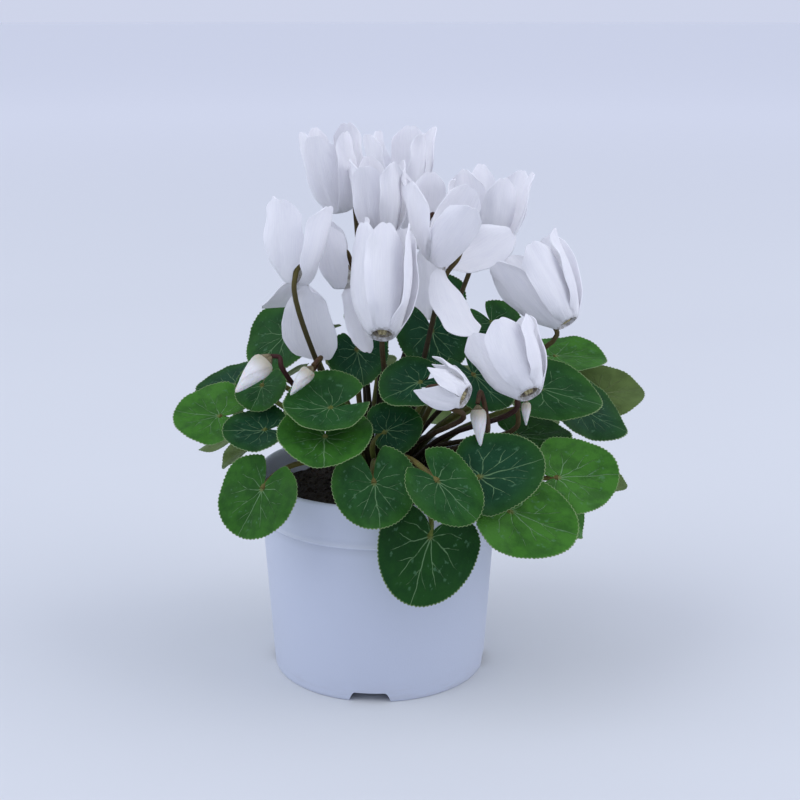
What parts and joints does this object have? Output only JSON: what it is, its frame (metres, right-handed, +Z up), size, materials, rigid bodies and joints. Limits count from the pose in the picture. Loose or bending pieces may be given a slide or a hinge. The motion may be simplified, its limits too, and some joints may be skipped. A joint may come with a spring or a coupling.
{
  "type": "potted cyclamen",
  "caption": "Flowering cyclamen in a plain round white pot, with toothed heart-shaped leaves, swept-back white petals and nodding buds.",
  "frame": {"origin": "on the ground at the pot's axis, at the centre of the pad under the pot", "axes": "+Z up along the pot's axis, -Y towards the front, +X to the right seen from the front"},
  "size_m": [0.2312, 0.1972, 0.2662],
  "materials": {
    "pot": "smooth matt white plastic",
    "compost": null,
    "tuber": "brown corky skin",
    "leaf": "green blade with pale veins, satin",
    "stalk": "olive to reddish brown, satin",
    "petal": "thin white petal, matt"
  },
  "bodies": {
    "root": {"pot": "pot", "compost": "compost", "tuber": "tuber", "leaf_01": "leaf", "leaf_02": "leaf", "leaf_03": "leaf", "leaf_04": "leaf", "leaf_05": "leaf", "leaf_06": "leaf", "leaf_07": "leaf", "leaf_08": "leaf", "leaf_09": "leaf", "leaf_10": "leaf", "leaf_11": "leaf", "leaf_12": "leaf", "leaf_13": "leaf", "leaf_14": "leaf", "leaf_15": "leaf", "leaf_16": "leaf", "leaf_17": "leaf", "leaf_18": "leaf", "leaf_19": "leaf", "leaf_20": "leaf", "leaf_21": "leaf", "leaf_22": "leaf", "leaf_23": "leaf", "leaf_24": "leaf", "leaf_25": "leaf", "flower_01_petals": "petal", "flower_01_stalk": "stalk", "flower_02_petals": "petal", "flower_02_stalk": "stalk", "flower_03_petals": "petal", "flower_03_stalk": "stalk", "flower_04_petals": "petal", "flower_04_stalk": "stalk", "flower_05_petals": "petal", "flower_05_stalk": "stalk", "flower_06_petals": "petal", "flower_06_stalk": "stalk", "flower_07_petals": "petal", "flower_07_stalk": "stalk", "flower_08_petals": "petal", "flower_08_stalk": "stalk", "flower_09_petals": "petal", "flower_09_stalk": "stalk", "flower_10_petals": "petal", "flower_10_stalk": "stalk", "flower_11_petals": "petal", "flower_11_stalk": "stalk", "flower_12_petals": "petal", "flower_12_stalk": "stalk", "bud_01_petals": "petal", "bud_01_stalk": "stalk", "bud_02_petals": "petal", "bud_02_stalk": "stalk", "bud_03_petals": "petal", "bud_03_stalk": "stalk", "bud_04_petals": "petal", "bud_04_stalk": "stalk"}
  },
  "joints": []
}
